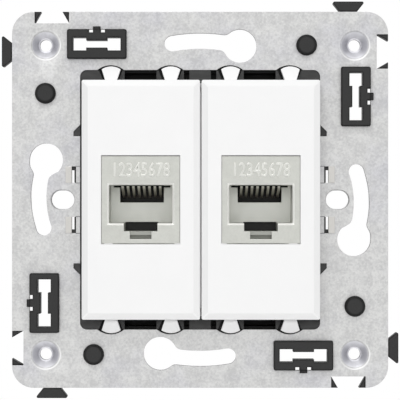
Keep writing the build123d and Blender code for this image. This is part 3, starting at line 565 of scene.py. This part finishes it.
# Painted shade on the sloping border, most at the sides and below.
painted_border_shade = add(tree, "ShaderNodeMath", {1: SIDE_SHADE},
             {0: sidelong.outputs[0], 2: away.outputs["Value"]},
             operation="MULTIPLY_ADD", use_clamp=True)
painted_border_shade = add(tree, "ShaderNodeMath", links={0: painted_border_shade.outputs[0], 1: border},
             operation="MULTIPLY")
tree.links.new(coated(tree, tone.outputs["Color"], [(painted_border_shade.outputs[0], "e9e9e9")]),
               shader.inputs["Base Color"])
shader.inputs["IOR"].default_value = 1.5
rounded = add(tree, "ShaderNodeBevel", {"Radius": 0.0002}, samples=6)
bump = add(tree, "ShaderNodeBump", {"Strength": 0.05, "Distance": 0.00002},
           {"Height": polish.outputs["Fac"], "Normal": rounded.outputs[0]})
tree.links.new(bump.outputs[0], shader.inputs["Normal"])

LUG_PLACES = (-16.875, -5.625, 5.625, 16.875)
LUG_REACH, LUG_ROOT, LUG_LENGTH = 2.6, 22.45, 2.7
LUG_ROOT_SHARE, LUG_TIP_SHARE = 0.845, 0.92
MODULE_END = 22.5
LEFT_WALL, LEFT_WALL_FACE, LEFT_WALL_SHIFT = -21.95, -22.17, 0.05


def drawn_in(points):
    """A module body with its lugs narrowed about their own middles, by a share that grows from
    root to tip. The leftmost wall is straight and a little further in."""
    x, z = points[:, 0], np.abs(points[:, 2])
    x = np.where(x < LEFT_WALL, np.maximum(x + LEFT_WALL_SHIFT, LEFT_WALL_FACE), x)
    along = np.clip((z - LUG_ROOT) / LUG_LENGTH, 0, 1)
    share = LUG_ROOT_SHARE + (LUG_TIP_SHARE - LUG_ROOT_SHARE) * along
    for lug in LUG_PLACES:
        on_lug = (z > MODULE_END) & (np.abs(x - lug) < LUG_REACH)
        x = np.where(on_lug, lug + (x - lug) * share, x)
    return np.stack([x, points[:, 1], points[:, 2]], axis=1)


for side in ("left", "right"):
    formed_copy(f"module_body_{side}", f"faceplate_{side}", glossy_abs,
                drawn_in, crease=0.25)

# Rim ends: white ribs that carry the rims between the two modules on to their upper and lower
# ends, so that the joint between the modules shows the same grey all the way.
RIM_LOW, RIM_HIGH = 20.4, 22.0
RIM_DEPTHS = (2.6, 2.75)
for side, near, far in (("left", -0.02, 0.11), ("right", 0.15, 0.28)):
    blocks = [(rectangle(near, far, level * RIM_LOW, level * RIM_HIGH), *RIM_DEPTHS)
              for level in (-1, 1)]
    prism_piece(f"rim_ends_{side}", blocks, glossy_abs)

# Jack shells and rear doors: die-cast zinc, tumbled and plated in satin nickel, a warm pale grey
# with faint casting clouds. Every edge gets a painted highlight.
CAST_MM = 1.6
TUMBLE_MM = 0.3
CAST_SHARE = 0.6
nickel, tree, shader, place = new_material("satin_nickel")
cast = add(tree, "ShaderNodeTexNoise", {"Scale": per_mm(CAST_MM), "Detail": 3.0},
           {"Vector": place.outputs["Object"]})
tumble = add(tree, "ShaderNodeTexNoise", {"Scale": per_mm(TUMBLE_MM), "Detail": 2.0},
             {"Vector": place.outputs["Object"]})
mixed = add(tree, "ShaderNodeMath", {1: 1 - CAST_SHARE}, {0: tumble.outputs["Fac"]},
            operation="MULTIPLY")
mixed = add(tree, "ShaderNodeMath", {1: CAST_SHARE},
            {0: cast.outputs["Fac"], 2: mixed.outputs[0]}, operation="MULTIPLY_ADD")
tone = add(tree, "ShaderNodeValToRGB", links={0: mixed.outputs[0]},
           stops=[(0.34, "c9cac4"), (0.66, "d3d4ce")])
# Painted highlight along every edge.
painted_edge_highlight, rounded = edge_share(tree, radius=0.00015, fall=0.3)

# Inside the ports painted light makes the plating paler with depth. The toe below each port gets
# painted shade past its shallow step and darker painted shade past its deep one.
JACK_X = {}
for side in ("left", "right"):
    low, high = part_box(f"jack_shell_{side}")
    JACK_X[side] = (low.x + high.x) / 2
JACK_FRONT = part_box("jack_shell_left")[0].y
BETWEEN_JACKS = sum(JACK_X.values()) / 2
PORT_HALF_WIDTH = 0.0062
PORT_LEVEL, PORT_HALF_HEIGHT = -0.0015, 0.0044
PORT_START, PORT_END = 0.0006, 0.0104
TOE_HALF_WIDTH = 0.0021
TOE_LEVEL, TOE_HALF_HEIGHT = -0.00666, 0.00074
TOE_SHADE_STEPS = ((0.0003, "a6a7a1"), (0.0014, "a2a39c"))
spot = add(tree, "ShaderNodeSeparateXYZ", links={0: place.outputs["Object"]})
aside = add(tree, "ShaderNodeMath", {1: -BETWEEN_JACKS}, {0: spot.outputs["X"]}, operation="ADD")
aside = add(tree, "ShaderNodeMath", links={0: aside.outputs[0]}, operation="ABSOLUTE")
aside = add(tree, "ShaderNodeMath", {1: BETWEEN_JACKS - JACK_X["right"]}, {0: aside.outputs[0]},
            operation="ADD")
in_port = within(tree, (aside.outputs[0], 0.0, PORT_HALF_WIDTH),
                 (spot.outputs["Z"], PORT_LEVEL, PORT_HALF_HEIGHT))
inward = add(tree, "ShaderNodeMapRange",
             {"From Min": JACK_FRONT + PORT_START, "From Max": JACK_FRONT + PORT_END},
             {"Value": spot.outputs["Y"]})
# Painted light inside each port, paler with depth.
painted_port_light = add(tree, "ShaderNodeMath", links={0: in_port, 1: inward.outputs[0]},
             operation="MULTIPLY")
toe = within(tree, (aside.outputs[0], 0.0, TOE_HALF_WIDTH),
             (spot.outputs["Z"], TOE_LEVEL, TOE_HALF_HEIGHT))
# Painted shade on the toe, darker past each step.
toe_painted_shades = []
for depth, code in TOE_SHADE_STEPS:
    past = add(tree, "ShaderNodeMath", {1: JACK_FRONT + depth}, {0: spot.outputs["Y"]},
               operation="GREATER_THAN")
    step = add(tree, "ShaderNodeMath", links={0: toe, 1: past.outputs[0]}, operation="MULTIPLY")
    toe_painted_shades.append((step.outputs[0], code))

# The chamfers round the ports face halfway up, down or sideways and get a painted highlight, and
# what stands in front of the shell, the numerals, gets a painted highlight, brightest on its
# slopes.
CHAMFER_NORMAL, CHAMFER_TOLERANCE = 0.707, 0.1
JUST_PROUD = 0.00001
facing = add(tree, "ShaderNodeSeparateXYZ", links={0: place.outputs["Normal"]})
frontal = add(tree, "ShaderNodeMath", links={0: facing.outputs["Y"]}, operation="ABSOLUTE")
painted_chamfer_highlight = within(tree, (frontal.outputs[0], CHAMFER_NORMAL, CHAMFER_TOLERANCE))
proud = add(tree, "ShaderNodeMath", {1: JACK_FRONT - JUST_PROUD}, {0: spot.outputs["Y"]},
            operation="LESS_THAN")
slope = add(tree, "ShaderNodeMapRange",
            {"From Min": 0.85, "From Max": 0.98, "To Min": 1.0, "To Max": 0.25},
            {"Value": frontal.outputs[0]})
# Painted highlight on the numerals' slopes.
raised = add(tree, "ShaderNodeMath", links={0: proud.outputs[0], 1: slope.outputs[0]},
             operation="MULTIPLY")
colour = coated(tree, tone.outputs["Color"],
                [(painted_port_light.outputs[0], "e0e1db"), (painted_edge_highlight, "ecece8"), (painted_chamfer_highlight, "fafaf6"),
                 *toe_painted_shades, (raised.outputs[0], "fcfcf8")])
tree.links.new(colour, shader.inputs["Base Color"])
shader.inputs["Metallic"].default_value = 0.8
rough = add(tree, "ShaderNodeMapRange",
            {"From Min": 0.3, "From Max": 0.7, "To Min": 0.4, "To Max": 0.5},
            {"Value": mixed.outputs[0]})
tree.links.new(rough.outputs[0], shader.inputs["Roughness"])
bump = add(tree, "ShaderNodeBump", {"Strength": 0.1, "Distance": 0.00003},
           {"Height": tumble.outputs["Fac"], "Normal": rounded})
tree.links.new(bump.outputs[0], shader.inputs["Normal"])


def paint(material, *names):
    """Gives pieces that are shown as they come from the frame their material."""
    for name in names:
        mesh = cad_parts[name].data
        mesh.materials.clear()
        mesh.materials.append(material)


paint(nickel, *[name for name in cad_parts
                if name.startswith("jack_shell") or "rear_door" in name])

# Contact numbers: raised numerals 1 to 8 cast over each port, one for each contact wire, narrow
# and with sloping sides so that they leave the die.
NUMERAL_SIZE = 0.0037
NUMERAL_WIDTH = 0.75
NUMERAL_HEIGHT = 0.00548
NUMERAL_RELIEF = 0.00014
NUMERAL_SLOPE = 0.0001
NUMERAL_THINNING = 0.00004
for side in ("left", "right"):
    letters = bpy.data.curves.new(f"numerals_{side}", "FONT")
    letters.body = "12345678"
    letters.size = NUMERAL_SIZE
    letters.align_x = "CENTER"
    letters.align_y = "CENTER"
    letters.extrude = NUMERAL_RELIEF - NUMERAL_SLOPE
    letters.bevel_depth = NUMERAL_SLOPE
    letters.bevel_resolution = 0
    letters.offset = -NUMERAL_THINNING
    letters.resolution_u = 3
    drawn = bpy.data.objects.new(f"numerals_{side}_text", letters)
    bpy.context.scene.collection.objects.link(drawn)
    bpy.context.view_layer.update()
    mesh = bpy.data.meshes.new_from_object(drawn)
    bpy.data.objects.remove(drawn)
    points = np.zeros(len(mesh.vertices) * 3)
    mesh.vertices.foreach_get("co", points)
    points = points.reshape(-1, 3)
    placed = np.stack([points[:, 0] * NUMERAL_WIDTH + JACK_X[side], JACK_FRONT - points[:, 2],
                       points[:, 1] + NUMERAL_HEIGHT], axis=1)
    mesh.vertices.foreach_set("co", placed.ravel())
    mesh.update()
    mesh.materials.clear()
    mesh.materials.append(nickel)
    numerals = bpy.data.objects.new(f"contact_numerals_{side}", mesh)
    bpy.context.scene.collection.objects.link(numerals)
    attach(numerals, "socket")

# Clamp ribs: three rolled ribs round each half of the cable clamp, cast with the door, that keep
# a cable tie from sliding off.
CLAMP_RADIUS = 0.0048
CLAMP_GAP = 0.00008
RIBS_START, RIBS_END = 0.0033, 0.0003
RIB_RISE = 0.00035
RIB_PITCH = 0.00095
RIB_ROUNDING = 0.6
RIB_ROOT = CLAMP_RADIUS - 0.00005
RIB_INSIDE = CLAMP_RADIUS - 0.0004
STEPS_ROUND, STEPS_ALONG = 41, 49


def half_ring(name, centre, profile_r, profile_y, side, gap):
    """Solid half ring round the cable way at this x: a closed profile of radius and depth turned
    from one flat end of the half to the other, x = centre + r cos a and z = side r sin a, with
    both ends capped this gap short of the middle plane."""
    start = math.asin(gap / profile_r.min())
    angle = np.linspace(start, math.pi - start, STEPS_ROUND)[:, None]
    x = centre + profile_r * np.cos(angle)
    z = side * profile_r * np.sin(angle)
    y = np.broadcast_to(profile_y, x.shape)
    rows, columns = x.shape
    points = np.stack([x, y, z], axis=-1).reshape(-1, 3)
    i, j = np.meshgrid(np.arange(rows - 1), np.arange(columns), indexing="ij")
    k = (j + 1) % columns
    quads = np.stack([i * columns + j, i * columns + k, (i + 1) * columns + k,
                      (i + 1) * columns + j], axis=-1).reshape(-1, 4)
    ends = [list(range(columns - 1, -1, -1)),
            [(rows - 1) * columns + n for n in range(columns)]]
    faces = quads.tolist() + ends
    if side < 0:
        faces = [face[::-1] for face in faces]
    mesh = bpy.data.meshes.new(name)
    mesh.from_pydata(points.tolist(), [], faces)
    return mesh


for jack in ("left", "right"):
    for level, side in (("upper", 1), ("lower", -1)):
        door = f"{level}_rear_door_{jack}"
        name = f"clamp_ribs_{level}_{jack}"
        clamp_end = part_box(door)[1].y
        depth = np.linspace(clamp_end - RIBS_START, clamp_end - RIBS_END, STEPS_ALONG)
        wave = np.cos(2 * np.pi * (depth - clamp_end) / RIB_PITCH)
        ribs = RIB_ROOT + RIB_RISE * np.clip(wave, 0, 1) ** RIB_ROUNDING
        profile_r = np.concatenate([[RIB_INSIDE], ribs, [RIB_INSIDE]])
        profile_y = np.concatenate([[depth[0]], depth, [depth[-1]]])
        mesh = half_ring(name, JACK_X[jack], profile_r, profile_y, side, CLAMP_GAP)
        mesh.materials.append(nickel)
        ring = bpy.data.objects.new(name, mesh)
        bpy.context.scene.collection.objects.link(ring)
        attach(ring, door)

# Contact inserts and release latches: moulded black polycarbonate, smoother than the links, with
# faint flow lines.
INSERT_FLOW_MM = 0.8
polycarbonate, tree, shader, place = new_material("black_polycarbonate")
flow = add(tree, "ShaderNodeTexNoise", {"Scale": per_mm(INSERT_FLOW_MM), "Detail": 2.0},
           {"Vector": place.outputs["Object"]})
tone = add(tree, "ShaderNodeValToRGB", links={0: flow.outputs["Fac"]},
           stops=[(0.0, "1c1c1b"), (1.0, "252524")])
tree.links.new(tone.outputs["Color"], shader.inputs["Base Color"])
shader.inputs["Roughness"].default_value = 0.4
shader.inputs["Specular IOR Level"].default_value = 0.3
rounded = add(tree, "ShaderNodeBevel", {"Radius": 0.0001}, samples=6)
bump = add(tree, "ShaderNodeBump", {"Strength": 0.08, "Distance": 0.00003},
           {"Height": flow.outputs["Fac"], "Normal": rounded.outputs[0]})
tree.links.new(bump.outputs[0], shader.inputs["Normal"])
for side in ("left", "right"):
    paint(polycarbonate, f"contact_carrier_{side}", f"release_latch_{side}")

# Contact wires: spring bronze strip under thin pale gold plating, with painted light near the top
# of the port and the plain plating where the wires bend down to the board.
TARNISH_MM = 0.5
PAINTED_LIGHT_FROM, PAINTED_LIGHT_TO = 0.0019, 0.0024
gold, tree, shader, place = new_material("gold_plated_bronze")
spot = add(tree, "ShaderNodeSeparateXYZ", links={0: place.outputs["Object"]})
# Painted light on the wires near the top of the port.
painted_top_light = add(tree, "ShaderNodeMapRange", {"From Min": PAINTED_LIGHT_FROM, "From Max": PAINTED_LIGHT_TO},
             {"Value": spot.outputs["Z"]})
tarnish = add(tree, "ShaderNodeTexNoise", {"Scale": per_mm(TARNISH_MM), "Detail": 2.0},
              {"Vector": place.outputs["Object"]})
tone = add(tree, "ShaderNodeValToRGB", links={0: tarnish.outputs["Fac"]},
           stops=[(0.3, "e2ded0"), (0.7, "eae6d8")])
tree.links.new(coated(tree, tone.outputs["Color"], [(painted_top_light.outputs[0], "f8f6ec")]),
               shader.inputs["Base Color"])
shader.inputs["Metallic"].default_value = 0.2
shader.inputs["Roughness"].default_value = 0.38
bump = add(tree, "ShaderNodeBump", {"Strength": 0.1, "Distance": 0.00002},
           {"Height": tarnish.outputs["Fac"]})
tree.links.new(bump.outputs[0], shader.inputs["Normal"])
paint(gold, "contact_wires_left", "contact_wires_right")

# Circuit boards: glass-fibre laminate under a brown-black solder resist, dark in the window
# behind the contact wires, with the weave just showing.
WEAVE_MM = 6.0
solder_resist, tree, shader, place = new_material("black_solder_resist")
weave = add(tree, "ShaderNodeTexWave", {"Scale": per_mm(WEAVE_MM), "Distortion": 0.4},
            {"Vector": place.outputs["Object"]}, bands_direction="DIAGONAL")
resist = add(tree, "ShaderNodeValToRGB", links={0: weave.outputs["Fac"]},
             stops=[(0.0, "2a2618"), (1.0, "342e1e")])
tree.links.new(resist.outputs["Color"], shader.inputs["Base Color"])
shader.inputs["Roughness"].default_value = 0.35
paint(solder_resist, "circuit_board_left", "circuit_board_right")

# Terminal blocks and wire caps: matt grey polyester moulding. The cap's back has a coloured dot
# over each wire slot, in the four pair colours that installers follow.
MOULD_MM = 0.4
PAIR_PITCH = 0.0028
PAIR_ROW = 0.0052
PAIR_COLOURS = ("d8791e", "3d8a45", "2f5fae", "7a4a2a")
PAIR_SHARE = 1 / len(PAIR_COLOURS)
DOT_REACH_IN_PITCHES = 0.22
DOT_HALF_HEIGHT = 0.0006
FACING_BACK = 0.9
polyester, tree, shader, place = new_material("grey_polyester")
mould = add(tree, "ShaderNodeTexNoise", {"Scale": per_mm(MOULD_MM), "Detail": 2.0},
            {"Vector": place.outputs["Object"]})
tone = add(tree, "ShaderNodeValToRGB", links={0: mould.outputs["Fac"]},
           stops=[(0.3, "bfbfba"), (0.7, "cacac5")])

# A place is counted in pitches from the edge of the first column, the one toward the other
# jack. The whole part of that picks the pair's colour, and the rest is the place across the
# column.
spot = add(tree, "ShaderNodeSeparateXYZ", links={0: place.outputs["Object"]})
apart = add(tree, "ShaderNodeMath", {1: -BETWEEN_JACKS}, {0: spot.outputs["X"]}, operation="ADD")
apart = add(tree, "ShaderNodeMath", links={0: apart.outputs[0]}, operation="ABSOLUTE")
column = add(tree, "ShaderNodeMath", {1: BETWEEN_JACKS - JACK_X["right"] + 2 * PAIR_PITCH},
             {0: apart.outputs[0]}, operation="ADD")
column = add(tree, "ShaderNodeMath", {1: PAIR_PITCH}, {0: column.outputs[0]}, operation="DIVIDE")
which = add(tree, "ShaderNodeMath", links={0: column.outputs[0]}, operation="FLOOR")
in_column = add(tree, "ShaderNodeMath", links={0: column.outputs[0]}, operation="FRACT")
pair = add(tree, "ShaderNodeMath", {1: PAIR_SHARE, 2: PAIR_SHARE / 2}, {0: which.outputs[0]},
           operation="MULTIPLY_ADD")
pairs = add(tree, "ShaderNodeValToRGB", links={0: pair.outputs[0]},
            stops=[(number * PAIR_SHARE, code) for number, code in enumerate(PAIR_COLOURS)])
pairs.color_ramp.interpolation = "CONSTANT"
upward = add(tree, "ShaderNodeMath", links={0: spot.outputs["Z"]}, operation="ABSOLUTE")
dot = within(tree, (in_column.outputs[0], 0.5, DOT_REACH_IN_PITCHES),
             (upward.outputs[0], PAIR_ROW, DOT_HALF_HEIGHT))
facing = add(tree, "ShaderNodeSeparateXYZ", links={0: place.outputs["Normal"]})
behind = add(tree, "ShaderNodeMath", {1: FACING_BACK}, {0: facing.outputs["Y"]},
             operation="GREATER_THAN")
dot = add(tree, "ShaderNodeMath", links={0: dot, 1: behind.outputs[0]}, operation="MULTIPLY")
dotted = add(tree, "ShaderNodeMix", data_type="RGBA",
             links={0: dot.outputs[0], 6: tone.outputs["Color"], 7: pairs.outputs["Color"]})
tree.links.new(dotted.outputs[2], shader.inputs["Base Color"])
shader.inputs["Roughness"].default_value = 0.6
rounded = add(tree, "ShaderNodeBevel", {"Radius": 0.0001}, samples=6)
bump = add(tree, "ShaderNodeBump", {"Strength": 0.1, "Distance": 0.00003},
           {"Height": mould.outputs["Fac"], "Normal": rounded.outputs[0]})
tree.links.new(bump.outputs[0], shader.inputs["Normal"])
for side in ("left", "right"):
    paint(polyester, f"terminal_block_{side}", f"wire_cap_{side}")

# Terminal blades and hinge pins: tinned bronze strip and drawn steel wire, both with fine lines
# along the way they were drawn.
LINE_MM = 0.2
LINE_STRETCH = 0.08
steel, tree, shader, place = new_material("drawn_steel")
stretched = add(tree, "ShaderNodeMapping", {"Scale": (LINE_STRETCH, 1.0, 1.0)},
                {"Vector": place.outputs["Object"]})
lines = add(tree, "ShaderNodeTexNoise", {"Scale": per_mm(LINE_MM), "Detail": 2.0},
            {"Vector": stretched.outputs[0]})
tone = add(tree, "ShaderNodeValToRGB", links={0: lines.outputs["Fac"]},
           stops=[(0.0, "a8a8a8"), (1.0, "d2d2d2")])
tree.links.new(tone.outputs["Color"], shader.inputs["Base Color"])
shader.inputs["Metallic"].default_value = 1.0
shader.inputs["Roughness"].default_value = 0.3
for side in ("left", "right"):
    paint(steel, f"terminal_blades_{side}", f"upper_hinge_pin_{side}", f"lower_hinge_pin_{side}")
